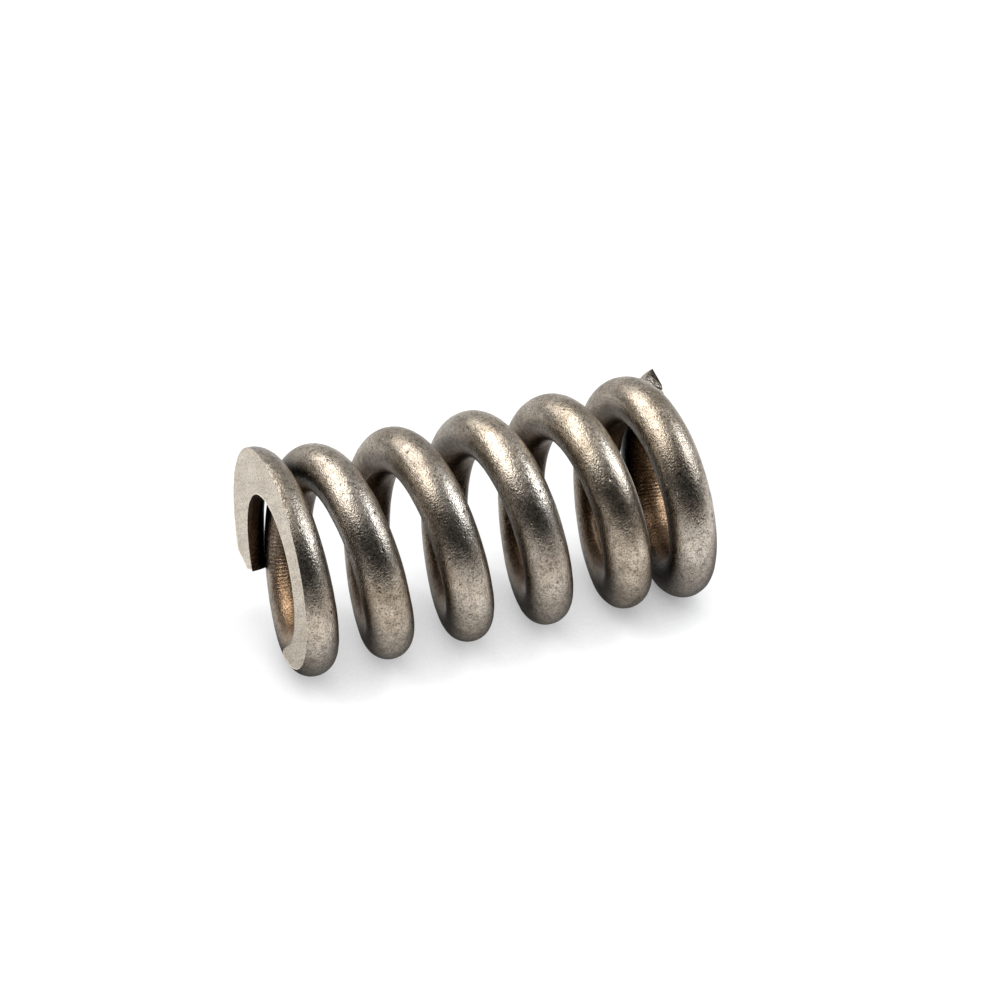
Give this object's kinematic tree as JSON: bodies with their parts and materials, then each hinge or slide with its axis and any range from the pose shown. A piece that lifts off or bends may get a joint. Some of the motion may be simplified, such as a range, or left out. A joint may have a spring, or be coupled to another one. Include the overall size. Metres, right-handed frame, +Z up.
{
  "type": "surfskate spring",
  "caption": "Round-wire compression spring for a surfskate's front truck, wound right-handed, with closed and ground ends.",
  "frame": {"origin": "on the coil's axis, in the plane of the ground base face", "axes": "+Z runs up the coil's axis from the base face to the top face, and +X passes through the wire's cut tip at the base"},
  "size_m": [0.0274, 0.0288, 0.05],
  "materials": {
    "spring_steel": "shot-peened round wire with a mottled brown-grey patina; the end faces are ground to a paler, finer grain"
  },
  "bodies": {
    "root": {"coil_spring": "spring_steel"}
  },
  "joints": []
}
